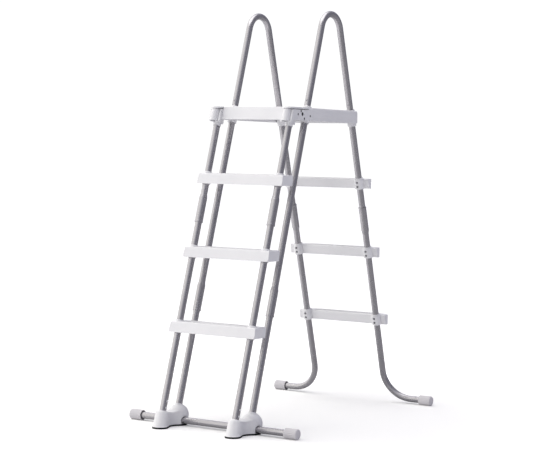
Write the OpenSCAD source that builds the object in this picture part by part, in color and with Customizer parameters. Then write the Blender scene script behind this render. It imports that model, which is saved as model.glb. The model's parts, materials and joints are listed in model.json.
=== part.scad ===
// A-frame pool ladder with a platform, two inverted-V handrails, fixed pool-side steps
// and a removable entry-side step unit that hooks on the platform and stands in two foot cups.
// X runs across the ladder, Y from the entry side to the pool side, Z up from the floor.

/* [Frame] */
// Height of the platform's top above the floor
platform_top = 1220; // [1120:10:1320]
// Lean of every leg and rail from the vertical, in degrees
lean = 16.7; // [15:0.1:18]
// Distance between the left and right leg axes
leg_spacing = 336; // [310:1:370]
// Distance between the entry and pool leg axes at the platform's top
leg_span = 336; // [320:1:360]
// Distance between the axes of the two removable rails
rail_spacing = 330; // [316:1:340]
// Distance from the fixed entry legs to the removable rails, square to both
rail_gap = 100; // [96:1:112]

/* [Tubes] */
// Outside diameter of every tube
tube_d = 26; // [24:0.5:28]
// Wall of every tube
tube_wall = 1.5; // [1:0.1:2]
// Outside diameter of the expanded tube ends
bell_d = 31.5; // [31:0.1:34]
// Length of an expanded tube end with its cone
bell_len = 114; // [90:1:130]
// Length of the cone from the expanded end to the tube
bell_cone = 14; // [8:1:20]
// Gap all round between a tube and the plastic or tube that it is pushed into
slip_gap = 0.15; // [0.1:0.05:0.3]
// Height of the lower lip of the expanded ends on the entry legs
entry_joint_z = 428; // [410:1:440]
// Height of the lower lip of the expanded ends on the removable rails
rail_joint_z = 770; // [740:1:790]
// Height of the upper lip of the expanded ends on the pool legs
pool_joint_z = 829; // [800:1:850]
// Radius of the handrail bend at the tube's axis
handrail_bend = 75; // [60:1:85]
// Radius of the pool leg's foot bend at the tube's axis
foot_bend = 118; // [90:1:130]
// Length of the reduced leg end inside a handrail
spigot_len = 66; // [50:1:80]

/* [Steps] */
// Height of the first entry step's tread
entry_first = 396; // [370:1:400]
// Rise from one entry step to the next
entry_rise = 282; // [270:1:290]
// Height of the first pool step's tread
pool_first = 376; // [340:1:400]
// Rise from one pool step to the next
pool_rise = 285; // [278:1:292]
// Width of an entry step
entry_step_w = 384; // [376:1:410]
// Width of a pool step
pool_step_w = 414; // [400:1:440]
// Depth of every step from front to back
step_depth = 75; // [68:1:88]
// Height of a step's skirt
step_h = 40; // [34:1:46]
// How far each end of a step splays out from its top to its bottom
step_draft = 4; // [1:0.5:6]
// Wall of the moulded steps, platform and brackets
shell = 3; // [2.4:0.1:4]
// How far the entry step's front edge stands ahead of the rail's axis
entry_nose = 21; // [20:0.5:26]
// How far the pool step's inner face stands behind the leg's axis
pool_face = 3; // [0:0.5:8]
// Wall of the round collars that hold a tube
collar_wall = 4.5; // [3.5:0.1:5.5]
// Height of the raised collar rings above a tread
collar_rise = 4; // [2:0.5:8]
// Number of grip ribs on a tread
tread_ribs = 7; // [3:1:9]
// Height of a grip rib
rib_h = 0.8; // [0.5:0.1:1.5]
// Width of a grip rib
rib_w = 3; // [2:0.5:4]

/* [Platform] */
// Height of the platform's skirt
platform_h = 50; // [46:1:58]
// How far the platform's front edge stands ahead of the entry leg's axis
platform_nose = 118; // [112:1:124]
// Radius of the platform's upper side edges
platform_round = 7; // [3:0.5:10]
// Radius of the platform's rear corners
platform_corner = 16; // [8:1:19]
// Number of grip ribs on the platform
platform_ribs = 17; // [7:1:21]
// Thickness of a bracket cheek
cheek = 8; // [6:0.5:10]
// Width of the rail hook between the cheeks
hook_w = 32; // [31.5:0.5:36]
// Gap on each side between the rail hook and the cheeks
hook_gap = 1; // [0.5:0.1:2]
// Thickness of the rail hook's lid
lid_t = 6.5; // [5:0.5:8]
// Height of the open groove under that lid
groove = 3; // [2:0.5:4]
// How far the middle of the rail hook's round nose stands ahead of the rail's axis
hook_nose = 28; // [24:0.5:32]
// Diameter of the pin that the rail hook drops over
pin_d = 15; // [13:0.5:16]
// Distance of that pin ahead of the entry leg's axis, square to the leg
pin_ahead = 56; // [52:1:60]
// Depth of that pin's axis below the platform's top
pin_drop = 26; // [24:1:29]

/* [Feet] */
// Length of the base bar over its end caps
base_w = 760; // [700:1:820]
// Width over the end caps of the pool legs
pool_foot_w = 770; // [740:1:820]
// Diameter of the end caps, which stand on the floor
cap_d = 40; // [36:0.5:46]
// Length of an end cap
cap_len = 62; // [50:1:75]
// Number of grip flutes round an end cap
cap_flutes = 20; // [12:1:24]
// Height of the foot cup's rim, at the rail's axis
cup_top = 64; // [54:1:70]
// Wall of the foot cup at its shoulder
cup_wall = 11.5; // [9:0.5:13]
// How far the foot cup flares from its rim to the sole
cup_flare = 4.5; // [3:0.5:6]
// Radius of the foot's heel round the base bar
heel_r = 40; // [37:0.5:42]
// Height of the foot's side wall at its waist
dip_z = 53; // [49:1:56]
// Radius of the hollow on each side of the foot's waist
waist_r = 45; // [40:1:60]
// Wall of the foot's moulding
foot_shell_t = 3.5; // [3:0.1:4.5]
// Radius of the ball that holds the leg on the base bar
dome_r = 40; // [38:0.5:43]
// How far the ball's centre stands behind the leg's axis
dome_back = 9; // [4:0.5:12]
// Height of the ball's top ring, at the leg's axis
dome_top = 78; // [76:1:86]
// Thickness of the rubber sole
sole_t = 4; // [3:0.5:6]

/* [Fasteners and buttons] */
// Diameter of the screws' shanks
screw_d = 4; // [3:0.5:5]
// Diameter of the screws' heads
screw_head_d = 8; // [7:0.5:9]
// Height of the screws' heads
screw_head_h = 2.5; // [2:0.1:3]
// Diameter of the snap buttons
button_d = 8; // [6:0.5:9]
// How far a snap button stands out of its tube
button_out = 3.2; // [2:0.1:4]
// Height of the handrail buttons above the platform's top
button_rise = 26; // [22:1:32]
// Height of the lower lock button on a removable rail
lock_z = 76; // [74:1:84]
// Distance between the two lock buttons of a rail
lock_pitch = 24; // [20:1:30]
// Running gap round the snap buttons
button_gap = 0.1; // [0.05:0.01:0.1]
// Gap between the removable unit and what it stands in
seat_gap = 0.4; // [0.3:0.1:0.8]

/* [Hidden] */
$fn = 64;

// Colours of the finishes
tube_grey = [0.62, 0.62, 0.64];
plastic_white = [0.93, 0.93, 0.94];
cap_grey = [0.80, 0.80, 0.82];
rubber_black = [0.08, 0.08, 0.09];
steel_grey = [0.45, 0.46, 0.48];

// A small length that carries a cut past a surface
over = 1;

// Radii of the tubes and of what they are pushed into
tube_r = tube_d / 2;
bore_r = tube_r - tube_wall;
bell_r = bell_d / 2;
lip_r = bell_r + 0.8;
lip_len = 5;
socket_r = tube_r + slip_gap;
lap = bell_len - bell_cone;
spigot_r = bore_r - slip_gap;
spigot_bore = spigot_r - tube_wall;
seat_cone = 4;
collar_r = socket_r + collar_wall;

// Places of the legs, with the whole ladder centred over the origin
half_run = leg_span / 2 + platform_top * tan(lean);
rail_ahead = rail_gap / cos(lean);
foot_z = cap_d / 2;
toe_r = socket_r + seat_gap + cup_wall + cup_flare;
cup_floor = sole_t + 6;
front_reach = half_run + rail_ahead - cup_floor * tan(lean) + toe_r;
back_reach = half_run - foot_z * tan(lean) + foot_z;
mid_y = (front_reach - back_reach) / 2;
entry_y = mid_y - half_run;
rail_y = entry_y - rail_ahead;
pool_y = mid_y + half_run;
leg_x = leg_spacing / 2;
rail_x = rail_spacing / 2;

// Heights along the legs
leg_top_z = platform_top + 6;
collar_top_z = platform_top + 4;
collar_low_z = platform_top - platform_h - 10;
rail_top_z = platform_top - lid_t - 14;
hook_low_z = platform_top - platform_h - 14;
leg_low_z = foot_z + tube_r + 5;

// The bracket's cheeks stand either side of the rail hook
channel_in = rail_x - hook_w / 2 - hook_gap;
channel_out = rail_x + hook_w / 2 + hook_gap;
bracket_in = channel_in - cheek;
bracket_out = max(leg_x + collar_r, channel_out + cheek);
bracket_back = collar_r + 1;
bracket_front = rail_gap + 26;
cheek_top_z = platform_top - lid_t - groove;

// Length of a horizontal line along the lean for one unit of height
slope = tan(lean);

function along(z) = z / cos(lean);
function unit(v) = v / norm(v);

// Points of a rounded corner b between a and c, more of them on a larger radius
function corner_arc(a, b, c, r) =
    let (
        u = unit(a - b),
        v = unit(c - b),
        half = acos(u * v) / 2,
        centre = b + unit(u + v) * (r / sin(half)),
        p = b + u * (r / tan(half)) - centre,
        q = b + v * (r / tan(half)) - centre,
        start = atan2(p.y, p.x),
        turn = (atan2(q.y, q.x) - start + 540) % 360 - 180,
        n = ceil(4 + r / 6)
    )
    r == 0 ? [b] : [for (i = [0:n]) centre + r * [cos(start + turn * i / n), sin(start + turn * i / n)]];

// A polygon's points with each corner rounded to its own radius
function round_poly(p, radii) =
    let (n = len(p))
    [for (i = [0:n - 1]) each corner_arc(p[(i + n - 1) % n], p[i], p[(i + 1) % n], radii[i])];

// Places on the leaning tubes: Z then runs up the tube's axis
module on_entry(side = 0) {
    translate([side * leg_x, entry_y, 0]) rotate([-lean, 0, 0]) children();
}

module on_rail(side = 0) {
    translate([side * rail_x, rail_y, 0]) rotate([-lean, 0, 0]) children();
}

module on_pool(side = 0) {
    translate([side * leg_x, pool_y, 0]) rotate([lean, 0, 0]) children();
}

// The same shape on the left for side -1 and on the right for side 1
module on_side(side) {
    mirror([side < 0 ? 1 : 0, 0, 0]) children();
}

// A prism across X whose outline is given as points of Y and Z
module across(points, x0, x1) {
    translate([x0, 0, 0]) rotate([90, 0, 90]) linear_extrude(x1 - x0) polygon(points);
}

// A prism along Y whose outline is given as points of X and Z
module along_y(points, y0, y1) {
    translate([0, y1, 0]) rotate([90, 0, 0]) linear_extrude(y1 - y0) polygon(points);
}

// Half-outline of a tube, with an expanded lower end or a reduced upper end if asked
function tube_outline(low, high, bell = false, spigot = false) = concat(
    bell
    ? [
        [socket_r, low], [lip_r, low], [lip_r, low + lip_len], [bell_r, low + lip_len + 1],
        [bell_r, low + lap], [tube_r, low + bell_len]
      ]
    : [[bore_r, low], [tube_r, low]],
    spigot
    ? [
        [tube_r, high], [bore_r + 0.2, high + seat_cone], [spigot_r, high + seat_cone],
        [spigot_r, high + seat_cone + spigot_len], [spigot_bore, high + seat_cone + spigot_len],
        [spigot_bore, high - seat_cone], [bore_r, high - 2 * seat_cone]
      ]
    : [[tube_r, high], [bore_r, high]],
    bell ? [[bore_r, low + lap], [socket_r, low + lap]] : []
);

module tube(low, high, bell = false, spigot = false) {
    rotate_extrude() polygon(tube_outline(low, high, bell, spigot));
}

// Screws point along +Z, with the underside of the head at the origin
module screw(length) {
    rotate_extrude() polygon(round_poly(
        [
            [0, -screw_head_h], [screw_head_d / 2, -screw_head_h], [screw_head_d / 2, 0],
            [screw_d / 2, 0], [screw_d / 2, length], [0, length]
        ],
        [0, 1.2, 0, 0, 0.8, 0]));
}

// The hole that clears a screw's shank, from just outside the head's seat
module screw_hole(length) {
    translate([0, 0, -over]) cylinder(h = length + over, d = screw_d + 2 * slip_gap);
}

// The counterbore for a screw's head, from its seat outwards
module head_hole(depth, gap = 0.5) {
    translate([0, 0, -depth]) cylinder(h = depth, d = screw_head_d + 2 * gap);
}

// Snap button pointing along +Z: a domed head, a flange inside the tube and a spring leaf
leaf_t = 0.8;
leaf_w = 6;
leaf_tail = 4;
leaf_gap = 0.5;
flange_t = 1.5;
flange_r = button_d / 2 + 1.5;

function flange_seat(bore) = sqrt(bore * bore - flange_r * flange_r) - 0.1;
function leaf_far(bore) = -sqrt(bore * bore - leaf_w * leaf_w / 4);
function leaf_near(bore) = flange_seat(bore) - flange_t - leaf_t;
function leaf_bend(bore) = (leaf_near(bore) + leaf_t - leaf_far(bore)) / 2;

// Lengths of the spring leaves: the two lock buttons of a rail stand one above the other
handrail_leaf = 26;
lock_leaf = along(lock_pitch) - leaf_tail - leaf_bend(bore_r) - 2 * leaf_gap;

module snap_button(bore, outer, leaf) {
    seat = flange_seat(bore);
    top = outer + button_out;
    rotate_extrude() polygon(round_poly(
        [
            [0, seat - flange_t], [flange_r, seat - flange_t], [flange_r, seat],
            [button_d / 2, seat], [button_d / 2, top], [0, top]
        ],
        [0, 0, 0, 0, button_d / 2 - 1, 0]));
    translate([-leaf_w / 2, 0, leaf_near(bore)]) cube([leaf_w, leaf, leaf_t]);
    translate([0, 0, leaf_near(bore)]) cylinder(h = leaf_t, d = leaf_w);
}

// The fixed half of the button's V spring: a strip on the far wall and the bend below
module spring_clip(bore, leaf) {
    bend_r = leaf_bend(bore);
    end = leaf + leaf_gap;
    translate([-leaf_w / 2, -leaf_tail, leaf_far(bore)]) cube([leaf_w, end + leaf_tail, leaf_t]);
    translate([0, end, leaf_far(bore) + bend_r]) rotate([0, 90, 0]) intersection() {
        difference() {
            cylinder(h = leaf_w, r = bend_r, center = true);
            cylinder(h = leaf_w + over, r = bend_r - leaf_t, center = true);
        }
        translate([-2 * bend_r, 0, -leaf_w]) cube([4 * bend_r, 2 * bend_r, 2 * leaf_w]);
    }
}

// Places of the buttons: Z points out of the tube, Y down a leg or up a rail
module at_handrail_button(pool, side) {
    z = along(platform_top + button_rise);
    if (pool) {
        on_pool(side) translate([0, 0, z]) rotate([90, 0, 0]) mirror([0, 1, 0]) children();
    } else {
        on_entry(side) translate([0, 0, z]) rotate([90, 0, 0]) mirror([0, 1, 0]) children();
    }
}

module at_lock_button(side, level) {
    z = along(lock_z + level * lock_pitch);
    on_rail(side) translate([0, 0, z]) rotate([90, 0, 90]) children();
}

module button_hole(low, high) {
    translate([0, 0, low]) cylinder(h = high - low, r = button_d / 2 + button_gap);
}

// Joint screws sit on the side of the expanded ends that faces the pool
joint_screw_len = 12;

module at_joint_screw(kind, side) {
    z_entry = along(entry_joint_z) + lap / 2;
    z_rail = along(rail_joint_z) + lap / 2;
    z_pool = along(pool_joint_z) - lap / 2;
    if (kind == "entry") on_entry(side) translate([0, bell_r, z_entry]) rotate([90, 0, 0]) children();
    if (kind == "rail") on_rail(side) translate([0, bell_r, z_rail]) rotate([90, 0, 0]) children();
    if (kind == "pool") on_pool(side) translate([0, bell_r, z_pool]) rotate([90, 0, 0]) children();
}

module joint_screw_hole(kind, side) {
    at_joint_screw(kind, side) screw_hole(joint_screw_len);
}

// Handrails

module handrail_path(r, extra) {
    bend_z = platform_top + leg_span / 2 / slope - handrail_bend / sin(lean);
    arm_top = along(bend_z + handrail_bend * sin(lean));
    low = along(leg_top_z) + seat_cone - extra;
    for (pool = [false, true]) {
        if (pool) {
            on_pool() translate([0, 0, low]) cylinder(h = arm_top - low, r = r);
        } else {
            on_entry() translate([0, 0, low]) cylinder(h = arm_top - low, r = r);
        }
    }
    translate([0, mid_y, bend_z]) rotate([90, 0, 90]) rotate([0, 0, lean])
        rotate_extrude(angle = 180 - 2 * lean) translate([handrail_bend, 0]) circle(r);
}

module handrail(side) {
    color(tube_grey) difference() {
        translate([side * leg_x, 0, 0]) handrail_path(tube_r, 0);
        translate([side * leg_x, 0, 0]) handrail_path(bore_r, over);
        for (pool = [false, true]) {
            at_handrail_button(pool, side) button_hole(0, tube_r + over);
        }
    }
}

module handrail_button(pool, side) {
    color(plastic_white) at_handrail_button(pool, side) snap_button(spigot_bore, tube_r, handrail_leaf);
}

module handrail_button_springs() {
    color(steel_grey) for (pool = [false, true], side = [-1, 1]) {
        at_handrail_button(pool, side) spring_clip(spigot_bore, handrail_leaf);
    }
}

// Legs

module entry_upper_leg(side) {
    color(tube_grey) difference() {
        on_entry(side) tube(along(entry_joint_z), along(leg_top_z), bell = true, spigot = true);
        at_handrail_button(false, side) button_hole(0, tube_r + over);
        joint_screw_hole("entry", side);
        at_leg_screw(side) screw_hole(leg_screw_len + over);
    }
}

module entry_lower_leg(side) {
    color(tube_grey) difference() {
        on_entry(side) tube(along(leg_low_z), along(entry_joint_z) + lap);
        joint_screw_hole("entry", side);
        at_foot_screw(side) screw_hole(foot_screw_len + over);
    }
}

module pool_upper_leg(side) {
    color(tube_grey) difference() {
        on_pool(side) tube(along(pool_joint_z) - lap, along(leg_top_z), spigot = true);
        at_handrail_button(true, side) button_hole(0, tube_r + over);
        joint_screw_hole("pool", side);
        at_pool_screws(2, side) step_screw_hole();
        at_platform_screw(side) screw_hole(platform_screw_len + over);
    }
}

module pool_foot_path(r, extra) {
    corner = along(foot_z);
    high = along(pool_joint_z) - lap;
    tip = pool_foot_w / 2 - leg_x - cap_end;
    translate([0, 0, corner + foot_bend]) cylinder(h = high - corner - foot_bend + extra, r = r);
    translate([foot_bend, 0, corner + foot_bend]) rotate([90, 0, 0]) rotate([0, 0, 180])
        rotate_extrude(angle = 90) translate([foot_bend, 0]) circle(r);
    translate([foot_bend, 0, corner]) rotate([0, 90, 0]) cylinder(h = tip - foot_bend + extra, r = r);
}

module pool_lower_leg(side) {
    top = along(pool_joint_z);
    color(tube_grey) difference() {
        union() {
            on_side(side) on_pool(1) difference() {
                pool_foot_path(tube_r, 0);
                pool_foot_path(bore_r, over);
            }
            on_pool(side) translate([0, 0, top]) mirror([0, 0, 1]) tube(0, bell_len, bell = true);
        }
        joint_screw_hole("pool", side);
        for (level = [0, 1]) at_pool_screws(level, side) step_screw_hole();
    }
}

module leg_joint_screws() {
    color(steel_grey) for (kind = ["entry", "pool"], side = [-1, 1]) {
        at_joint_screw(kind, side) screw(joint_screw_len - 2);
    }
}

// Steps: a moulded tray, open below, that leans with its legs

// Outline in Y and Z of a tray; leans are 1 or -1 where its front and back lean to +Y or -Y, or 0
function tray_outline(y0, y1, top, height, leans) = [
    [y0, top], [y1, top],
    [y1 - leans[1] * slope * height, top - height], [y0 - leans[0] * slope * height, top - height]
];

// Half the width of a tray at a depth below its top
function end_half(half_w, depth) = half_w + step_draft * depth / step_h;

step_round = 5;
step_corner = 9;
ribs_across = 5;
rib_t = 2.4;
entry_leans = [1, 1];
entry_corners = [step_corner, step_corner, step_corner, step_corner];
pool_leans = [-1, 0];
pool_corners = [0, 0, step_depth - 4, step_depth - 4];

module rounded_plan(half_w, y0, y1, z0, z1, radii) {
    translate([0, 0, z0]) linear_extrude(z1 - z0)
        polygon(round_poly([[-half_w, y0], [half_w, y0], [half_w, y1], [-half_w, y1]], radii));
}

module tread(half_w, y0, y1, top, count) {
    pitch = (y1 - y0) / count;
    for (i = [0:count - 1]) {
        translate([-half_w, y0 + pitch * (i + 0.5) - rib_w / 2, top - over])
            cube([2 * half_w, rib_w, rib_h + over]);
    }
}

// A tray's form: leaning front and back, splayed ends and a plan with rounded corners, all drawn in
module tray_form(width, y0, y1, top, leans, corners, inset) {
    half_w = width / 2 - inset;
    wide = end_half(half_w, step_h) + over;
    height = inset > 0 ? step_h + over : step_h;
    r = inset > 0 ? 0 : step_round;
    front = y0 + inset - abs(leans[0]) * slope * step_h;
    back = y1 - inset + abs(leans[1]) * slope * step_h + over;
    low = top - step_h - 2 * over;
    low_half = end_half(half_w, top - low);
    intersection() {
        across(round_poly(tray_outline(y0 + inset, y1 - inset, top - inset, height, leans), [r, r, 0, 0]),
            -wide, wide);
        rounded_plan(wide, front, back, low, top + over, [for (c = corners) max(0, c - inset)]);
        along_y(round_poly(
            [[half_w, top], [-half_w, top], [-low_half, low], [low_half, low]],
            [r, r, 0, 0]), front - over, back + over);
    }
}

// A tray with a wall all round and stiffening ribs below its tread
module step_tray(width, y0, y1, top, leans, corners) {
    half_w = width / 2 - shell;
    difference() {
        tray_form(width, y0, y1, top, leans, corners, 0);
        difference() {
            tray_form(width, y0, y1, top, leans, corners, shell);
            for (i = [1:ribs_across]) {
                x = -half_w + 2 * half_w * i / (ribs_across + 1);
                across(tray_outline(y0, y1, top, step_h * 0.8, leans), x - rib_t / 2, x + rib_t / 2);
            }
        }
    }
}

// Collar round a leaning tube, from below the skirt to a ring above the tread
module collar_post(top, extra) {
    low = along(top - step_h) - extra;
    high = along(top) + collar_rise;
    translate([0, 0, low]) cylinder(h = high - low, r = collar_r - 1);
}

module collar_bore(top) {
    low = along(top - step_h) - step_h;
    translate([0, 0, low]) cylinder(h = 3 * step_h, r = socket_r);
}

// Entry steps, held to the rails by screws from behind
entry_screw_boss = 6;
entry_screw_seat = collar_r + 6;
entry_screw_len = entry_screw_seat - bore_r + 3;

function entry_top(level) = entry_first + level * entry_rise;
function rail_at(z) = rail_y + slope * z;

module at_entry_screw(level, side) {
    on_rail(side) translate([0, entry_screw_seat, along(entry_top(level) - step_h * 0.55)])
        rotate([90, 0, 0]) children();
}

module entry_step(level) {
    top = entry_top(level);
    y0 = rail_at(top) - entry_nose;
    y1 = y0 + step_depth;
    color(plastic_white) difference() {
        union() {
            step_tray(entry_step_w, y0, y1, top, entry_leans, entry_corners);
            tread(rail_x - collar_r - 4, y0 + step_round, y1 - step_round, top, tread_ribs);
            for (side = [-1, 1]) {
                on_rail(side) collar_post(top, 2);
                at_entry_screw(level, side)
                    cylinder(h = entry_screw_seat - tube_r - over, r = entry_screw_boss);
            }
        }
        for (side = [-1, 1]) {
            on_rail(side) collar_bore(top);
            at_entry_screw(level, side) screw_hole(entry_screw_len);
        }
    }
}

module entry_step_screws() {
    color(steel_grey) for (level = [0:2], side = [-1, 1]) {
        at_entry_screw(level, side) screw(entry_screw_len - over);
    }
}

// Pool steps, held by two recessed screws in each boss on the inner face
pool_boss_r = collar_r + 2;
pool_screw_seat = pool_boss_r - screw_head_h - 1;
pool_screw_len = pool_screw_seat - bore_r + 3;
pool_screw_heights = [0.3, 0.72];

function pool_top(level) = pool_first + level * pool_rise;
function pool_leg_at(z) = pool_y - slope * z;

module at_pool_screws(level, side) {
    for (share = pool_screw_heights) {
        on_pool(side) translate([0, -pool_screw_seat, along(pool_top(level) - step_h * share)])
            rotate([-90, 0, 0]) children();
    }
}

module step_screw_hole() {
    screw_hole(pool_screw_len + over);
}

module pool_step(level) {
    top = pool_top(level);
    y0 = pool_leg_at(top) + pool_face;
    y1 = y0 + step_depth;
    boss_low = along(top - step_h);
    color(plastic_white) difference() {
        union() {
            step_tray(pool_step_w, y0, y1, top, pool_leans, pool_corners);
            tread(leg_x - pool_boss_r - 4, y0 + step_round, y1 - step_round, top, tread_ribs);
            for (side = [-1, 1]) {
                on_pool(side) translate([0, 0, boss_low]) cylinder(h = along(step_h), r = pool_boss_r);
                on_pool(side) collar_post(top, 0);
            }
        }
        for (side = [-1, 1]) {
            on_pool(side) collar_bore(top);
            at_pool_screws(level, side) head_hole(screw_head_h + 2 * over, 1.5);
            at_pool_screws(level, side) step_screw_hole();
        }
    }
}

module pool_step_screws() {
    color(steel_grey) for (level = [0:2], side = [-1, 1]) {
        at_pool_screws(level, side) screw(pool_screw_len);
    }
}

// Platform: a tray between the two corner brackets, with collars for the pool legs
platform_screw_len = 14;
platform_screw_seat = collar_r + 3;
platform_low = platform_top - platform_h;
platform_front = mid_y - leg_span / 2 - platform_nose;
platform_back = mid_y + leg_span / 2 + collar_r / cos(lean);
platform_fit = 0.2;

module at_platform_screw(side) {
    on_pool(side) translate([-side * platform_screw_seat, 0, along(platform_top - platform_h / 2)])
        rotate([0, side * 90, 0]) children();
}

// Outline in Y and Z of the platform between its leaning front and back
function platform_outline(inset, top, low) = [
    [platform_front + inset - slope * (platform_top - top), top],
    [platform_back - inset + slope * (platform_top - top), top],
    [platform_back - inset + slope * (platform_top - low), low],
    [platform_front + inset - slope * (platform_top - low), low]
];

// The rounded upper edges along both sides of the platform and its brackets, drawn in by a distance
module side_edges(y0, y1, inset = 0) {
    x = bracket_out - inset;
    high = platform_top - inset;
    low = platform_low - 2 * over;
    r = max(0, platform_round - inset);
    along_y(round_poly([[x, high], [-x, high], [-x, low], [x, low]], [r, r, 0, 0]), y0, y1);
}

// Space that a corner bracket takes out of the platform
module bracket_space(side, grow) {
    on_side(side) on_entry()
        translate([bracket_in - grow, -2 * rail_gap, along(platform_low) - 2 * rail_gap])
        cube([leg_spacing, 2 * rail_gap + bracket_back + grow, 4 * rail_gap]);
}

module top_platform() {
    half_w = bracket_out;
    reach = slope * platform_h;
    color(plastic_white) difference() {
        union() {
            difference() {
                intersection() {
                    across(round_poly(platform_outline(0, platform_top, platform_low), [3, 3, 0, 0]),
                        -half_w, half_w);
                    rounded_plan(half_w, platform_front - 2 * reach, platform_back + reach,
                        platform_low - over, platform_top + over, [0, 0, platform_corner, platform_corner]);
                    side_edges(platform_front - 2 * reach, platform_back + 2 * reach);
                }
                difference() {
                    intersection() {
                        across(platform_outline(shell, platform_top - shell, platform_low - over),
                            -half_w, half_w);
                        side_edges(platform_front - 2 * reach, platform_back + 2 * reach, shell);
                    }
                    for (side = [-1, 1]) bracket_space(side, platform_fit + shell);
                    for (i = [-2:2]) {
                        x = i * bracket_in * 2 / 5;
                        across(platform_outline(0, platform_top, platform_low + 12),
                            x - rib_t / 2, x + rib_t / 2);
                    }
                    across([
                        [mid_y - rib_t / 2, platform_top], [mid_y + rib_t / 2, platform_top],
                        [mid_y + rib_t / 2, platform_low + 12], [mid_y - rib_t / 2, platform_low + 12]
                    ], -half_w, half_w);
                }
            }
            tread(bracket_in - 8, platform_front + 8, platform_back - 8, platform_top, platform_ribs);
            for (side = [-1, 1]) {
                on_pool(side) translate([0, 0, along(collar_low_z)])
                    cylinder(h = along(collar_top_z - collar_low_z), r = collar_r);
                at_platform_screw(side)
                    cylinder(h = platform_screw_seat - tube_r - over, r = entry_screw_boss);
            }
        }
        for (side = [-1, 1]) {
            bracket_space(side, platform_fit);
            on_pool(side) translate([0, 0, along(platform_low) - platform_h])
                cylinder(h = 4 * platform_h, r = socket_r);
            at_platform_screw(side) screw_hole(platform_screw_len);
            at_side_screws(side) screw_hole(bracket_screw_len + over);
        }
    }
}

module platform_screws() {
    color(steel_grey) for (side = [-1, 1]) {
        at_platform_screw(side) screw(platform_screw_len - over);
    }
}

// Corner brackets: a leg block with two cheeks that reach forward round the rail hook
bracket_screw_len = cheek + 5;
lug_drop = 7;
lug_len = 12;
pin_recess = 3;
side_screw_ahead = 33;

// A point given as distance ahead of the entry leg and height, seen from the side
function side_point(ahead, z) = [entry_y + slope * z - ahead / cos(lean), z];

// Screws that hold the platform to the bracket's inner cheek, from inside the channel
module at_side_screws(side) {
    on_side(side) for (drop = [0.35, 0.75]) {
        z = platform_top - platform_h * drop;
        p = side_point(side_screw_ahead, z);
        translate([channel_in, p.x, p.y]) rotate([0, -90, 0]) children();
    }
}

// Small screws round the pin on the outer cheek: distance ahead of the leg and drop from the top
cheek_screws = [[70, 15], [87, 27], [38, 43]];
cheek_screw_recess = 3;
cheek_screw_len = cheek - cheek_screw_recess - 0.5;

module at_cheek_screws(side) {
    on_side(side) for (place = cheek_screws) {
        p = side_point(place.x, platform_top - place.y);
        translate([bracket_out - cheek_screw_recess, p.x, p.y]) rotate([0, -90, 0]) children();
    }
}

// The screw through the outer cheek into the leg
leg_screw_drop = 32;
leg_screw_len = bracket_out - leg_x - bore_r + 1;

module at_leg_screw(side) {
    on_side(side) on_entry()
        translate([bracket_out - screw_head_h - 1, 0, along(platform_top - leg_screw_drop)])
        rotate([0, -90, 0]) children();
}

module at_hook_pin(side) {
    on_side(side) {
        p = side_point(pin_ahead, platform_top - pin_drop);
        translate([bracket_out, p.x, p.y]) rotate([0, -90, 0]) children();
    }
}

// Side outline of a cheek, with the lug below its front end
function cheek_outline(front, back, top, low, lug) = [
    side_point(front, top), side_point(-back, top), side_point(-back, low),
    side_point(front - lug_len, low), side_point(front - lug_len, low - lug), side_point(front, low - lug)
];

module corner_bracket(side) {
    arm = cheek_outline(bracket_front, 0, cheek_top_z, platform_low, lug_drop);
    color(plastic_white) difference() {
        on_side(side) union() {
            across(arm, bracket_in, channel_in);
            across(arm, channel_out, bracket_out);
            intersection() {
                across(cheek_outline(bracket_back, bracket_back, platform_top, platform_low, 0),
                    bracket_in, bracket_out);
                side_edges(entry_y, mid_y);
            }
            on_entry(1) translate([0, 0, along(collar_low_z)])
                cylinder(h = along(collar_top_z - collar_low_z), r = collar_r);
        }
        on_entry(side) translate([0, 0, along(platform_low) - platform_h])
            cylinder(h = 4 * platform_h, r = socket_r);
        at_hook_pin(side) translate([0, 0, -over]) cylinder(h = 2 * hook_w, d = pin_d + 2 * slip_gap);
        at_side_screws(side) screw_hole(bracket_screw_len);
        at_cheek_screws(side) {
            head_hole(cheek_screw_recess + over);
            screw_hole(cheek + over);
        }
        at_leg_screw(side) {
            head_hole(screw_head_h + 2 * over);
            screw_hole(leg_screw_len);
        }
    }
}

module hook_pins() {
    length = bracket_out - bracket_in - pin_recess - over;
    color(steel_grey) for (side = [-1, 1]) {
        at_hook_pin(side) translate([0, 0, pin_recess]) cylinder(h = length, d = pin_d);
    }
}

module bracket_screws() {
    color(steel_grey) for (side = [-1, 1]) {
        at_side_screws(side) screw(bracket_screw_len - over);
        at_cheek_screws(side) screw(cheek_screw_len);
        at_leg_screw(side) screw(leg_screw_len - over);
    }
}

// Base: a bar across the entry side, carried by two moulded feet and two end caps
cap_end = 8;
base_y = entry_y + slope * foot_z;
cup_rim_r = socket_r + seat_gap + cup_wall;
foot_screw_seat = dome_r - 4;
foot_screw_len = foot_screw_seat - bore_r + 3;
dome_z = 38;
dome_ring = 2.5;
toe_y = rail_at(cup_floor);
wall_toe_y = rail_at(cup_top);
wall_toe_r = cup_rim_r - 1;
heel_y = base_y + 4;
toe_lip = 4;
toe_sweep = 13;
toe_top = 34;
cup_ring = 3;
cup_ring_h = 2.5;
shoulder_r = 6;
arch_r = socket_r + 2.5;
arch_depth = 8;

module base_bar() {
    color(tube_grey) translate([-base_w / 2 + cap_end, base_y, foot_z]) rotate([0, 90, 0])
        tube(0, base_w - 2 * cap_end);
}

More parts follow.
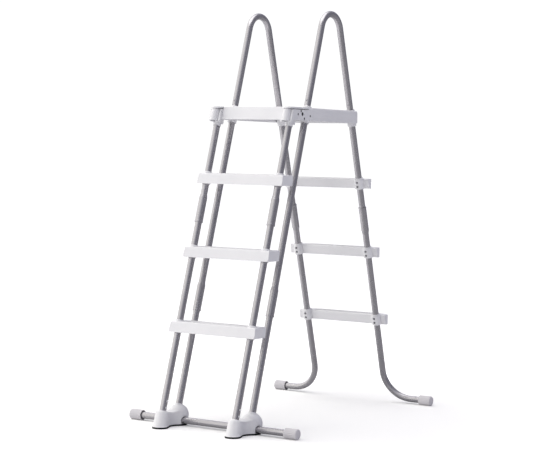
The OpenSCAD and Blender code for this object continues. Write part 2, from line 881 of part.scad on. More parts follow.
// End cap with its closed end at the origin and its mouth along +Z
module end_cap() {
    flute_r = 1.6;
    difference() {
        rotate_extrude() polygon(round_poly(
            [
                [0, 0], [cap_d / 2, 0], [cap_d / 2, cap_len], [socket_r, cap_len],
                [socket_r, cap_end], [0, cap_end]
            ],
            [0, 5, 1.5, 0, 0, 0]));
        for (i = [0:cap_flutes - 1]) {
            rotate([0, 0, (i + 0.5) * 360 / cap_flutes]) translate([cap_d / 2 + flute_r / 2, 0, 9])
                cylinder(h = cap_len, r = flute_r, $fn = 24);
        }
    }
}

module base_cap(side) {
    color(cap_grey) on_side(side) translate([base_w / 2, base_y, foot_z]) rotate([0, -90, 0]) end_cap();
}

module pool_foot_cap(side) {
    color(cap_grey) on_side(side) translate([pool_foot_w / 2, pool_y - slope * foot_z, foot_z])
        rotate([0, -90, 0]) end_cap();
}

// Centre of the hollow on one side of the waist, which touches the toe and heel circles
function waist_centre(side) =
    let (
        a = wall_toe_r + waist_r,
        b = heel_r + waist_r,
        span = [leg_x - rail_x, heel_y - wall_toe_y],
        d = norm(span),
        t = (d * d + a * a - b * b) / (2 * d),
        h = sqrt(a * a - t * t)
    )
    [rail_x, wall_toe_y] + (span * t + side * h * [span.y, -span.x]) / d;

// Outline of the foot's wall seen from above, drawn in by a distance
module foot_plan(inset) {
    toe = [rail_x, wall_toe_y];
    heel = [leg_x, heel_y];
    right = waist_centre(1);
    left = waist_centre(-1);
    translate(toe) circle(wall_toe_r - inset);
    translate(heel) circle(heel_r - inset);
    difference() {
        polygon([
            toe, toe + unit(right - toe) * wall_toe_r, heel + unit(right - heel) * heel_r,
            heel, heel + unit(left - heel) * heel_r, toe + unit(left - toe) * wall_toe_r
        ]);
        translate(right) circle(waist_r + inset);
        translate(left) circle(waist_r + inset);
    }
}

// The foot's hollow moulding: a wall that dips at the waist, and a ball over the bar
peak_ahead = 18;
peak_rise = 6;
waist_ahead = 46;
eave_behind = 6;

module foot_shell(inset) {
    low = inset > 0 ? -over : sole_t;
    reach = heel_r + dome_r;
    eave = foot_z + arch_r + foot_shell_t - inset;
    intersection() {
        translate([0, 0, low]) linear_extrude(cup_top) foot_plan(inset);
        across(round_poly(
            [
                [wall_toe_y - reach, low], [heel_y + reach, low], [heel_y + reach, eave],
                [base_y + eave_behind, eave], [base_y - peak_ahead, dip_z + peak_rise - inset],
                [base_y - waist_ahead, dip_z - inset],
                [wall_toe_y, cup_top - inset - 4], [wall_toe_y - reach, cup_top - inset - 4]
            ],
            [0, 0, 0, 8, 12, 20, 0, 0]), 0, base_w);
    }
    intersection() {
        translate([leg_x, entry_y + slope * dome_z + dome_back, dome_z]) sphere(dome_r - inset);
        translate([0, rail_y, low]) cube(base_w);
    }
}

// The cup leans with the rail and stands in a round toe that flares to the sole
module foot_cup(side) {
    rim = along(cup_top);
    shoulder = rim - cup_ring_h;
    ring_r = socket_r + seat_gap + cup_ring;
    on_rail(side) rotate_extrude() polygon(round_poly(
        [
            [0, -toe_r], [toe_r - toe_lip / 2, -toe_r], [cup_rim_r, shoulder],
            [ring_r, shoulder], [ring_r, rim], [0, rim]
        ],
        [0, 0, shoulder_r, 0, 1, 0]));
    translate([side * rail_x, toe_y, sole_t]) rotate_extrude() polygon(round_poly(
        [
            [0, 0], [toe_r, 0], [toe_r, toe_lip], [cup_rim_r - toe_lip, toe_sweep],
            [socket_r, toe_top], [0, toe_top]
        ],
        [0, 0, toe_lip / 2, 20, 0, 0]));
}

module at_foot_screw(side) {
    on_entry(side) translate([0, foot_screw_seat, along(leg_low_z + 18)]) rotate([90, 0, 0]) children();
}

module base_foot(side) {
    rim = along(cup_top);
    color(plastic_white) difference() {
        union() {
            on_side(side) difference() {
                foot_shell(0);
                foot_shell(foot_shell_t);
            }
            intersection() {
                union() {
                    foot_cup(side);
                    on_entry(side) cylinder(h = along(dome_top), r = socket_r + dome_ring);
                    on_side(side) translate([leg_x - heel_r + arch_depth - over, base_y, foot_z])
                        rotate([0, 90, 0]) cylinder(h = 2 * (heel_r - arch_depth + over), r = arch_r + 2);
                    at_foot_screw(side) cylinder(h = foot_screw_seat - tube_r - over, r = entry_screw_boss);
                }
                translate([-base_w, rail_y - base_w, sole_t]) cube([2 * base_w, 2 * base_w, base_w]);
            }
        }
        on_rail(side) translate([0, 0, along(cup_floor)]) cylinder(h = 2 * rim, r = tube_r + seat_gap);
        on_entry(side) translate([0, 0, along(leg_low_z)]) cylinder(h = 2 * rim, r = socket_r);
        translate([-base_w / 2, base_y, foot_z]) rotate([0, 90, 0]) cylinder(h = base_w, r = socket_r);
        for (end = [-1, 1]) {
            translate([side * leg_x + end * (heel_r - arch_depth + dome_r / 2), base_y, 0])
                foot_arch(dome_r);
        }
        at_foot_screw(side) {
            head_hole(dome_r);
            screw_hole(foot_screw_len);
        }
    }
}

// The arched recess where the bar leaves the foot
module foot_arch(depth) {
    translate([-depth / 2, 0, foot_z]) rotate([0, 90, 0]) cylinder(h = depth, r = arch_r);
    translate([-depth / 2, -arch_r, 0]) cube([depth, 2 * arch_r, foot_z]);
}

module foot_sole(side) {
    color(rubber_black) on_side(side) {
        linear_extrude(sole_t) foot_plan(0);
        translate([rail_x, toe_y, 0]) cylinder(h = sole_t, r = toe_r);
    }
}

module base_foot_screws() {
    color(steel_grey) for (side = [-1, 1]) {
        at_foot_screw(side) screw(foot_screw_len - over);
    }
}

// Removable step unit

module upper_rail(side) {
    color(tube_grey) difference() {
        on_rail(side) tube(along(rail_joint_z), along(rail_top_z), bell = true);
        joint_screw_hole("rail", side);
        at_entry_screw(2, side) screw_hole(entry_screw_len + over);
        at_hook_screw(side) screw_hole(hook_screw_len + over);
    }
}

plug_len = 20;
plug_tip = 7;

module lower_rail(side) {
    color(tube_grey) difference() {
        on_rail(side) tube(along(cup_floor) + seat_gap + plug_tip, along(rail_joint_z) + lap);
        joint_screw_hole("rail", side);
        for (level = [0, 1]) {
            at_entry_screw(level, side) screw_hole(entry_screw_len + over);
            at_lock_button(side, level) button_hole(0, tube_r + over);
        }
    }
}

module rail_joint_screws() {
    color(steel_grey) for (side = [-1, 1]) {
        at_joint_screw("rail", side) screw(joint_screw_len - 2);
    }
}

module rail_plug(side) {
    low = along(cup_floor) + seat_gap;
    color(plastic_white) on_rail(side) rotate_extrude() polygon(round_poly(
        [
            [0, low], [tube_r, low], [tube_r, low + plug_tip], [bore_r - slip_gap, low + plug_tip],
            [bore_r - slip_gap, low + plug_len], [0, low + plug_len]
        ],
        [0, 3, 0, 0, 1, 0]));
}

module lock_button(side, level) {
    color(plastic_white) at_lock_button(side, level) snap_button(bore_r, tube_r, lock_leaf);
}

module lock_button_springs() {
    color(steel_grey) for (side = [-1, 1], level = [0, 1]) {
        at_lock_button(side, level) spring_clip(bore_r, lock_leaf);
    }
}

// Rail hook: a rounded cap on the rail's top with an arm that drops over the pin
arm_w = 16;
arm_back = pin_ahead - pin_d / 2 - 8;
arm_low = platform_top - pin_drop - 14;
hook_back = tube_r + 4;
hook_screw_len = 12;
lid_half = hook_w / 2 + hook_gap + cheek - 0.5;
lid_nose = hook_nose + hook_w / 2 + 1 - lid_half;
neck_in = 9;
pocket_front = hook_nose + hook_w / 2 - shell;
pocket_back = socket_r + shell;
pocket_depth = 24;

module at_hook_screw(side) {
    z = along(hook_low_z + screw_head_d + 4);
    on_rail(side) translate([0, hook_back, z]) rotate([90, 0, 0]) children();
}

module hook_slot(side) {
    p = side_point(pin_ahead, platform_top - pin_drop);
    r = pin_d / 2 + seat_gap;
    on_side(side) translate([rail_x - arm_w, p.x, p.y]) rotate([-lean, 0, 0]) {
        rotate([0, 90, 0]) cylinder(h = 2 * arm_w, r = r);
        translate([0, -r, -4 * r]) cube([2 * arm_w, 2 * r, 4 * r]);
    }
}

// A block round the rail with a round nose, between two heights
module hook_block(side, half_w, nose, back, low, high) {
    start = along(hook_low_z);
    reach = along(platform_top + hook_w) - start;
    intersection() {
        on_rail(side) translate([0, -nose, start]) {
            cylinder(h = reach, r = half_w);
            translate([-half_w, 0, 0]) cube([2 * half_w, nose + back, reach]);
        }
        translate([-base_w, rail_y, low]) cube([2 * base_w, base_w, high - low]);
    }
}

module rail_hook(side) {
    top = platform_top - lid_t;
    arm_front = rail_gap - tube_r;
    color(plastic_white) difference() {
        union() {
            hook_block(side, hook_w / 2, hook_nose, hook_back, 0, top - groove);
            hook_block(side, hook_w / 2 - neck_in, hook_nose, hook_back - neck_in, 0, top + over);
            hook_block(side, lid_half, lid_nose, rail_gap - bracket_back - hook_gap, top, platform_top);
            on_side(side) across([
                side_point(arm_front, top + over), side_point(arm_back, top + over),
                side_point(arm_back, arm_low), side_point(arm_front, arm_low)
            ], rail_x - arm_w / 2, rail_x + arm_w / 2);
            on_rail(side) translate([0, 0, along(hook_low_z) - 12])
                cylinder(h = 12 + over, r1 = socket_r + 2, r2 = hook_w / 2 - 0.5);
        }
        on_rail(side) cylinder(h = along(rail_top_z), r = socket_r);
        on_rail(side) translate([0, -(pocket_front + pocket_back) / 2, along(hook_low_z) - over])
            cylinder(h = pocket_depth + over, r = (pocket_front - pocket_back) / 2);
        hook_slot(side);
        at_hook_screw(side) screw_hole(hook_screw_len);
    }
}

module rail_hook_screws() {
    color(steel_grey) for (side = [-1, 1]) {
        at_hook_screw(side) screw(hook_screw_len - over);
    }
}

handrail(-1);  // left_handrail
handrail(1);  // right_handrail
entry_upper_leg(-1);  // left_entry_upper_leg
entry_upper_leg(1);  // right_entry_upper_leg
entry_lower_leg(-1);  // left_entry_lower_leg
entry_lower_leg(1);  // right_entry_lower_leg
pool_upper_leg(-1);  // left_pool_upper_leg
pool_upper_leg(1);  // right_pool_upper_leg
pool_lower_leg(-1);  // left_pool_lower_leg
pool_lower_leg(1);  // right_pool_lower_leg
leg_joint_screws();
top_platform();
corner_bracket(-1);  // left_corner_bracket
corner_bracket(1);  // right_corner_bracket
hook_pins();
bracket_screws();
platform_screws();
pool_step(0);  // lower_pool_step
pool_step(1);  // middle_pool_step
pool_step(2);  // upper_pool_step
pool_step_screws();
base_bar();
base_cap(-1);  // left_base_cap
base_cap(1);  // right_base_cap
pool_foot_cap(-1);  // left_pool_foot_cap
pool_foot_cap(1);  // right_pool_foot_cap
base_foot(-1);  // left_base_foot
base_foot(1);  // right_base_foot
foot_sole(-1);  // left_foot_sole
foot_sole(1);  // right_foot_sole
base_foot_screws();
handrail_button(false, -1);  // left_entry_handrail_button
handrail_button(false, 1);  // right_entry_handrail_button
handrail_button(true, -1);  // left_pool_handrail_button
handrail_button(true, 1);  // right_pool_handrail_button
handrail_button_springs();
upper_rail(-1);  // left_upper_rail
upper_rail(1);  // right_upper_rail
lower_rail(-1);  // left_lower_rail
lower_rail(1);  // right_lower_rail
rail_joint_screws();
entry_step(0);  // lower_entry_step
entry_step(1);  // middle_entry_step
entry_step(2);  // upper_entry_step
entry_step_screws();
rail_hook(-1);  // left_rail_hook
rail_hook(1);  // right_rail_hook
rail_hook_screws();
rail_plug(-1);  // left_rail_plug
rail_plug(1);  // right_rail_plug
lock_button(-1, 1);  // left_upper_lock_button
lock_button(-1, 0);  // left_lower_lock_button
lock_button(1, 1);  // right_upper_lock_button
lock_button(1, 0);  // right_lower_lock_button
lock_button_springs();
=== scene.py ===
"""Pool ladder: finishes, small detail, floor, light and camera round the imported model."""

import json
import math

import bmesh
import bpy
import numpy as np
from mathutils import Matrix, Vector


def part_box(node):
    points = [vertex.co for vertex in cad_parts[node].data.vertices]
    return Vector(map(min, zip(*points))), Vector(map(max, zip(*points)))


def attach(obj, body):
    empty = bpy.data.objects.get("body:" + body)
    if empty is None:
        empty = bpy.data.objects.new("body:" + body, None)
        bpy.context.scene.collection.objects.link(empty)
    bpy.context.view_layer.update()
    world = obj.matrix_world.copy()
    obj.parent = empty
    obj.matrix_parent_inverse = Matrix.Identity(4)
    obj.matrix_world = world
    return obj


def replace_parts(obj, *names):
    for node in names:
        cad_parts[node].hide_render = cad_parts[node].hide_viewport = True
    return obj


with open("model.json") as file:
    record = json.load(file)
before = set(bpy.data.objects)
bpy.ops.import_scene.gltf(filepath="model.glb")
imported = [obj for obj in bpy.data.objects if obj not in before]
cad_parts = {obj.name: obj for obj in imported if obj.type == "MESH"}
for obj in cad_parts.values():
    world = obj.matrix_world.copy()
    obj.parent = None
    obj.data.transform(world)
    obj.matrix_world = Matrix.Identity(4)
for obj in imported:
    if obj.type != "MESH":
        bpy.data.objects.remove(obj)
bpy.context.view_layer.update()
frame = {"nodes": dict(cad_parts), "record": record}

scene = bpy.context.scene

SLOT_OF = {piece["node"]: piece["material_slot"] for piece in frame["record"]["subparts"]}
BODY_OF = {node: body for body, nodes in frame["record"]["behaviour"]["bodies"].items()
           for node in nodes}


# Shader nodes

def add(tree, kind, inputs=None, **settings):
    """A node of a tree; an input is a socket to link or a value to set."""
    node = tree.nodes.new(kind)
    for key, value in settings.items():
        setattr(node, key, value)
    for key, value in (inputs or {}).items():
        if isinstance(value, bpy.types.NodeSocket):
            tree.links.new(value, node.inputs[key])
        else:
            node.inputs[key].default_value = value
    return node


def new_group(name, inputs, outputs):
    """An empty shader group with its named sockets."""
    tree = bpy.data.node_groups.new(name, "ShaderNodeTree")
    for label, kind, value in inputs:
        socket = tree.interface.new_socket(label, in_out="INPUT", socket_type=kind)
        if value is not None:
            socket.default_value = value
    for label, kind in outputs:
        tree.interface.new_socket(label, in_out="OUTPUT", socket_type=kind)
    given = tree.nodes.new("NodeGroupInput").outputs
    made = tree.nodes.new("NodeGroupOutput").inputs
    return tree, given, made


def place_group(tree, group, inputs):
    """The outputs of a group placed in a tree."""
    return add(tree, "ShaderNodeGroup", inputs, node_tree=group).outputs


def math_node(tree, operation, first, second=0.0, third=0.0, clamp=False):
    """The result of one step of arithmetic."""
    return add(tree, "ShaderNodeMath", {0: first, 1: second, 2: third}, operation=operation,
               use_clamp=clamp).outputs[0]


def spread(tree, value, low, high, to_low=0.0, to_high=1.0):
    """A value stretched smoothly from one range to another."""
    return add(tree, "ShaderNodeMapRange", {0: value, 1: low, 2: high, 3: to_low, 4: to_high},
               interpolation_type="SMOOTHSTEP").outputs[0]


def noise(tree, vector, scale, detail=2.0, rough=0.5):
    """A cloudy value."""
    return add(tree, "ShaderNodeTexNoise",
               {"Vector": vector, "Scale": scale, "Detail": detail, "Roughness": rough}).outputs[0]


def mix_colour(tree, share, first, second):
    """A colour between two others."""
    return add(tree, "ShaderNodeMix", {0: share, 6: first, 7: second},
               data_type="RGBA").outputs[2]


def upward(tree, vector):
    """The part of a vector along Z."""
    return add(tree, "ShaderNodeSeparateXYZ", {0: vector}).outputs["Z"]


def along(tree, vector, way):
    """The part of a vector along a fixed way."""
    return add(tree, "ShaderNodeVectorMath", {0: vector, 1: way},
               operation="DOT_PRODUCT").outputs["Value"]


def grain_group():
    """The fine texture of a moulded or powder-coated surface and its slow change of tone."""
    tree, given, made = new_group(
        "surface_grain",
        [("Vector", "NodeSocketVector", None), ("Grain", "NodeSocketFloat", 900.0),
         ("Drift", "NodeSocketFloat", 9.0)],
        [("Height", "NodeSocketFloat"), ("Tone", "NodeSocketFloat")])
    fine = noise(tree, given["Vector"], given["Grain"], detail=3.0, rough=0.6)
    slow = noise(tree, given["Vector"], given["Drift"], detail=3.0, rough=0.55)
    tree.links.new(fine, made["Height"])
    tree.links.new(spread(tree, slow, 0.3, 0.7), made["Tone"])
    return tree


def scuff_group():
    """Faint rubbed patches made of thin scratches that cross."""
    tree, given, made = new_group(
        "light_scuffs", [("Vector", "NodeSocketVector", None)], [("Mask", "NodeSocketFloat")])
    scratches = []
    for turn, stretch in (((0.2, 0.5, 0.3), (700.0, 30.0, 45.0)),
                          ((0.9, 0.1, 1.2), (40.0, 650.0, 35.0))):
        laid = add(tree, "ShaderNodeMapping",
                   {"Vector": given["Vector"], "Rotation": turn, "Scale": stretch}).outputs[0]
        scratches.append(spread(tree, noise(tree, laid, 1.0, detail=1.0), 0.66, 0.74))
    patch = spread(tree, noise(tree, given["Vector"], 14.0), 0.52, 0.68)
    both = math_node(tree, "MAXIMUM", *scratches)
    tree.links.new(math_node(tree, "MULTIPLY", both, patch), made["Mask"])
    return tree


def dust_group():
    """Dust that settles on faces turned upwards."""
    tree, given, made = new_group(
        "settled_dust",
        [("Vector", "NodeSocketVector", None), ("Facing", "NodeSocketVector", None)],
        [("Mask", "NodeSocketFloat")])
    level = spread(tree, upward(tree, given["Facing"]), 0.55, 1.0)
    cloud = spread(tree, noise(tree, given["Vector"], 28.0, detail=5.0, rough=0.65), 0.42, 0.72)
    tree.links.new(math_node(tree, "MULTIPLY", level, cloud), made["Mask"])
    return tree


def stipple_group():
    """Small moulded studs on treads: level faces well above the floor."""
    tree, given, made = new_group(
        "tread_stipple",
        [("Vector", "NodeSocketVector", None), ("Facing", "NodeSocketVector", None),
         ("Pitch", "NodeSocketFloat", 240.0), ("Above", "NodeSocketFloat", 0.3)],
        [("Height", "NodeSocketFloat")])
    level = spread(tree, upward(tree, given["Facing"]), 0.97, 0.995)
    raised = math_node(tree, "GREATER_THAN", upward(tree, given["Vector"]), given["Above"])
    cells = add(tree, "ShaderNodeTexVoronoi",
                {"Vector": given["Vector"], "Scale": given["Pitch"],
                 "Randomness": 0.0}).outputs["Distance"]
    studs = spread(tree, cells, 0.45, 0.25)
    treads = math_node(tree, "MULTIPLY", level, raised)
    tree.links.new(math_node(tree, "MULTIPLY", studs, treads), made["Height"])
    return tree


SURFACE_GRAIN = grain_group()
LIGHT_SCUFFS = scuff_group()
SETTLED_DUST = dust_group()
TREAD_STIPPLE = stipple_group()


# Finishes

DUST_COLOUR = (0.62, 0.60, 0.57, 1.0)
DUST_ROUGHENS = 0.25
STUD_HEIGHT = 0.0004


def finish_material(name, pale, deep, rough, rough_change, grain, grain_depth, drift, dust, scuff,
                    soft_edge=0.0, studs=False, metallic=0.0, specular=0.5):
    """A finish with grain, a slow change of tone, scuffs, dust, soft edges and studs on treads."""
    material = bpy.data.materials.new(name)
    material.use_nodes = True
    tree = material.node_tree
    tree.nodes.clear()
    place = add(tree, "ShaderNodeTexCoord").outputs["Object"]
    facing = add(tree, "ShaderNodeNewGeometry").outputs["Normal"]
    surface = place_group(tree, SURFACE_GRAIN, {"Vector": place, "Grain": grain, "Drift": drift})
    rubbed = place_group(tree, LIGHT_SCUFFS, {"Vector": place})["Mask"]
    dusty = place_group(tree, SETTLED_DUST, {"Vector": place, "Facing": facing})["Mask"]
    tone = mix_colour(tree, surface["Tone"], (*pale, 1.0), (*deep, 1.0))
    colour = mix_colour(tree, math_node(tree, "MULTIPLY", dusty, dust), tone, DUST_COLOUR)
    gloss = math_node(tree, "MULTIPLY_ADD", surface["Tone"], rough_change, rough)
    gloss = math_node(tree, "MULTIPLY_ADD", rubbed, scuff, gloss)
    gloss = math_node(tree, "MULTIPLY_ADD", dusty, DUST_ROUGHENS * dust, gloss, clamp=True)
    shape = facing
    if soft_edge:
        shape = add(tree, "ShaderNodeBevel", {"Radius": soft_edge}, samples=6).outputs[0]
    if studs:
        raised = place_group(tree, TREAD_STIPPLE, {"Vector": place, "Facing": facing})["Height"]
        shape = add(tree, "ShaderNodeBump",
                    {"Strength": 0.7, "Distance": STUD_HEIGHT, "Height": raised,
                     "Normal": shape}).outputs[0]
    shape = add(tree, "ShaderNodeBump",
                {"Strength": 0.6, "Distance": grain_depth, "Height": surface["Height"],
                 "Normal": shape}).outputs[0]
    body = add(tree, "ShaderNodeBsdfPrincipled",
               {"Base Color": colour, "Roughness": gloss, "Normal": shape, "Metallic": metallic,
                "Specular IOR Level": specular})
    out = add(tree, "ShaderNodeOutputMaterial", {"Surface": body.outputs[0]})
    out.is_active_output = True
    return material


FINISHES = {
    "tube": finish_material(
        "satin_grey_powder_coat", (0.520, 0.506, 0.521), (0.487, 0.474, 0.489),
        rough=0.24, rough_change=0.05, grain=1500.0, grain_depth=0.00010, drift=7.0,
        dust=0.08, scuff=0.10, metallic=0.85),
    "plastic": finish_material(
        "white_moulding", (0.86, 0.855, 0.86), (0.82, 0.815, 0.825),
        rough=0.42, rough_change=0.08, grain=1300.0, grain_depth=0.00010, drift=6.0,
        dust=0.10, scuff=0.12, soft_edge=0.0012, studs=True),
    "cap": finish_material(
        "grey_cap_moulding", (0.69, 0.67, 0.685), (0.65, 0.63, 0.645),
        rough=0.45, rough_change=0.08, grain=1300.0, grain_depth=0.00012, drift=8.0,
        dust=0.12, scuff=0.10),
    "rubber": finish_material(
        "black_sole_rubber", (0.010, 0.010, 0.011), (0.016, 0.016, 0.017),
        rough=0.82, rough_change=0.10, grain=1100.0, grain_depth=0.00025, drift=12.0,
        dust=0.10, scuff=0.05, specular=0.25),
    # Screw steel: real steel screws, but their colour is darkened far below bare zinc as painted
    # shade of the recesses they sit in.
    "steel": finish_material(
        "screw_steel_darkened_as_recess_shade", (0.085, 0.085, 0.095), (0.06, 0.06, 0.068),
        rough=0.38, rough_change=0.10, grain=2600.0, grain_depth=0.00003, drift=60.0,
        dust=0.05, scuff=0.15, metallic=1.0),
    "button": finish_material(
        "white_button_moulding", (0.84, 0.84, 0.85), (0.80, 0.80, 0.81),
        rough=0.36, rough_change=0.06, grain=1600.0, grain_depth=0.00006, drift=20.0,
        dust=0.05, scuff=0.10),
}
BRIGHT_ZINC = finish_material(
    "bright_zinc_screw_steel", (0.34, 0.34, 0.36), (0.27, 0.27, 0.29),
    rough=0.34, rough_change=0.10, grain=2600.0, grain_depth=0.00003, drift=60.0,
    dust=0.05, scuff=0.15, metallic=1.0)
GREY_BUTTON = finish_material(
    "grey_button_moulding", (0.50, 0.49, 0.50), (0.45, 0.44, 0.45),
    rough=0.42, rough_change=0.06, grain=1600.0, grain_depth=0.00006, drift=20.0,
    dust=0.05, scuff=0.10)
# Near-black steel for the bracket screws and hook pins: painted shade standing in for the dark
# holes round them, not a real black finish.
HOLE_SHADE_BLACK_STEEL = finish_material(
    "steel_painted_black_as_hole_shade", (0.022, 0.022, 0.025), (0.016, 0.016, 0.018),
    rough=0.52, rough_change=0.10, grain=2200.0, grain_depth=0.00004, drift=50.0,
    dust=0.05, scuff=0.10, metallic=0.6)


def finish_of(node):
    """The finish of a node's slot, apart from small pieces with a finish of their own; the
    near-black steel of the bracket screws and hook pins is painted shade of their holes.
    """
    if node.endswith("_handrail_button"):
        return GREY_BUTTON
    if node.endswith("_step_screws"):
        return BRIGHT_ZINC
    if node in ("bracket_screws", "hook_pins"):
        return HOLE_SHADE_BLACK_STEEL
    return FINISHES[SLOT_OF[node]]


for node, obj in frame["nodes"].items():
    obj.data.materials.clear()
    obj.data.materials.append(finish_of(node))


# Screws and pins, made again with the detail of the real ones where the plain solids stand

SAME_POINT = 1e-6     # metres
SHARP_EDGE = math.radians(32)
HEAD_FLAT = 0.76      # shares of a screw head's radius
RECESS_REACH = 0.56
RECESS_HALF = 0.15
HEAD_CROWN = 0.45     # shares of its height
RECESS_DEPTH = 0.7
RECESS_TAPER = 0.62
THREAD_ROOT = 0.78    # shares of a shank's radius
THREAD_PITCH = 0.75
POINT_LENGTH = 1.2


def separate_solids(mesh):
    """The points of each separate solid in a node's mesh."""
    bm = bmesh.new()
    bm.from_mesh(mesh)
    bmesh.ops.remove_doubles(bm, verts=bm.verts, dist=SAME_POINT)
    seen = set()
    solids = []
    for first in bm.verts:
        if first in seen:
            continue
        seen.add(first)
        found = [first]
        for vert in found:
            for edge in vert.link_edges:
                other = edge.other_vert(vert)
                if other not in seen:
                    seen.add(other)
                    found.append(other)
        solids.append(np.array([vert.co for vert in found]))
    bm.free()
    return solids


def turned_axis(points):
    """Middle and axis of a turned solid, with each point's place along it and distance from it."""
    middle = points.mean(axis=0)
    spans, ways = np.linalg.eigh(np.cov((points - middle).T))
    axis = ways[:, 2] if spans[2] - spans[1] > spans[1] - spans[0] else ways[:, 0]
    far = (points - middle) @ axis
    out = np.linalg.norm(points - middle - np.outer(far, axis), axis=1)
    return middle, axis, far, out


def turn_from_up(way):
    """The turn that lays +Z along a way."""
    return Vector((0, 0, 1)).rotation_difference(Vector(way)).to_matrix().to_4x4()


def lathe(profile, steps):
    """A closed solid turned round Z from a profile that starts and ends on the axis."""
    bm = bmesh.new()
    verts = [bm.verts.new((r, 0.0, z)) for r, z in profile]
    edges = [bm.edges.new(pair) for pair in zip(verts, verts[1:])]
    bmesh.ops.spin(bm, geom=verts + edges, cent=(0, 0, 0), axis=(0, 0, 1), dvec=(0, 0, 0),
                   angle=math.tau, steps=steps, use_merge=True, use_duplicate=False)
    bmesh.ops.remove_doubles(bm, verts=bm.verts, dist=1e-7)
    bmesh.ops.recalc_face_normals(bm, faces=bm.faces)
    return bm


def cross_recess(bm, top, half, reach, depth):
    """A tapered cross pressed into the flat top of a screw's head."""
    near = 1.3 * reach

    def top_faces():
        return [face for face in bm.faces
                if all(abs(v.co.z - top) < 1e-7 and math.hypot(v.co.x, v.co.y) < near
                       for v in face.verts)]

    for way in ((1, 0, 0), (0, 1, 0)):
        for place in (-reach, -half, half, reach):
            faces = top_faces()
            parts = set(faces)
            for face in faces:
                parts.update(face.edges)
                parts.update(face.verts)
            bmesh.ops.bisect_plane(bm, geom=list(parts), dist=1e-8, plane_no=way,
                                   plane_co=[place * w for w in way])
    arms = []
    for face in top_faces():
        middle = face.calc_center_median()
        across = sorted((abs(middle.x), abs(middle.y)))
        if across[0] < half and across[1] < reach:
            arms.append(face)
    grown = bmesh.ops.extrude_face_region(bm, geom=arms)["geom"]
    bmesh.ops.delete(bm, geom=[face for face in arms if face.is_valid], context="FACES")
    sunk = [part for part in grown if isinstance(part, bmesh.types.BMVert)]
    bmesh.ops.translate(bm, verts=sunk, vec=(0, 0, depth))
    bmesh.ops.scale(bm, verts=sunk, vec=(RECESS_TAPER, RECESS_TAPER, 1.0))
    bmesh.ops.recalc_face_normals(bm, faces=bm.faces)


def screw_form(head_r, head_h, shank_r, length):
    """A pan-head screw along +Z with the underside of its head at the origin."""
    reach = RECESS_REACH * head_r
    profile = [(0, -head_h), (1.2 * reach, -head_h), (HEAD_FLAT * head_r, -head_h)]
    for turn in (30, 60, 90):
        a = math.radians(turn)
        profile.append((head_r * (HEAD_FLAT + (1 - HEAD_FLAT) * math.sin(a)),
                        -head_h * (1 - HEAD_CROWN + HEAD_CROWN * math.cos(a))))
    profile += [(head_r, -0.06 * head_h), (0.97 * head_r, 0), (shank_r, 0)]
    pitch = THREAD_PITCH * shank_r
    root = THREAD_ROOT * shank_r
    turns = int((length - POINT_LENGTH * shank_r) / pitch)
    for i in range(turns):
        z = pitch * (i + 0.5)
        profile += [(root, z), (shank_r, z + 0.45 * pitch)]
    profile += [(root, pitch * (turns + 0.4)), (0, length)]
    bm = lathe(profile, 24)
    cross_recess(bm, -head_h, RECESS_HALF * head_r, reach, RECESS_DEPTH * head_h)
    return bm


def pin_form(radius, length):
    """A plain pin along +Z from the origin, chamfered, with a shallow centre mark in each end."""
    edge, mark = 0.12 * radius, 0.22 * radius
    slope, brim = 0.3 * mark, 1.2 * mark
    return lathe([(0, mark), (mark, slope), (brim, 0), (radius - edge, 0), (radius, edge),
                  (radius, length - edge), (radius - edge, length), (brim, length),
                  (mark, length - slope), (0, length - mark)], 32)


def finished_piece(name, bm, node):
    """A piece with the finish of a node, on the same body."""
    mesh = bpy.data.meshes.new(name)
    bm.to_mesh(mesh)
    bm.free()
    mesh.polygons.foreach_set("use_smooth", [True] * len(mesh.polygons))
    mesh.set_sharp_from_angle(angle=SHARP_EDGE)
    mesh.materials.append(finish_of(node))
    piece = bpy.data.objects.new(name, mesh)
    scene.collection.objects.link(piece)
    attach(piece, BODY_OF[node])
    return piece


def as_screw(middle, axis, far, out):
    """A detailed screw for a turned solid, with its seat and axis."""
    head_r = out.max()
    head = out > 0.95 * head_r
    if far[head].mean() > (far.min() + far.max()) / 2:
        axis, far = -axis, -far
    under = far[head].max()
    shank_r = out[far > under + 1e-5].max()
    form = screw_form(head_r, under - far.min(), shank_r, far.max() - under)
    return form, Vector(middle + under * axis), axis


def as_pin(middle, axis, far, out):
    """A detailed pin for a turned solid, with its seat and axis."""
    form = pin_form(out.max(), far.max() - far.min())
    return form, Vector(middle + far.min() * axis), axis


def dressed_fastener(node, form):
    """One piece for all the screws or pins of a node, each turned solid made again by a form."""
    whole = bmesh.new()
    for points in separate_solids(frame["nodes"][node].data):
        single, seat, axis = form(*turned_axis(points))
        bmesh.ops.transform(single, matrix=Matrix.Translation(seat) @ turn_from_up(axis),
                            verts=single.verts)
        mesh = bpy.data.meshes.new("single_fastener")
        single.to_mesh(mesh)
        single.free()
        whole.from_mesh(mesh)
        bpy.data.meshes.remove(mesh)
    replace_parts(finished_piece(node + "_detailed", whole, node), node)


for node in sorted(SLOT_OF):
    if node.endswith("_screws"):
        dressed_fastener(node, as_screw)
dressed_fastener("hook_pins", as_pin)


# End caps with full flutes and a hollow mouth, rims of the rubber soles, necks of the rail hooks

TUBE_OUTSIDE = 0.01305
CAP_SHORTER = 0.007    # than the plain solid
FLUTES = 20
FLUTE_DEPTH = 0.0014
FLUTES_START = 0.0100  # from the closed end


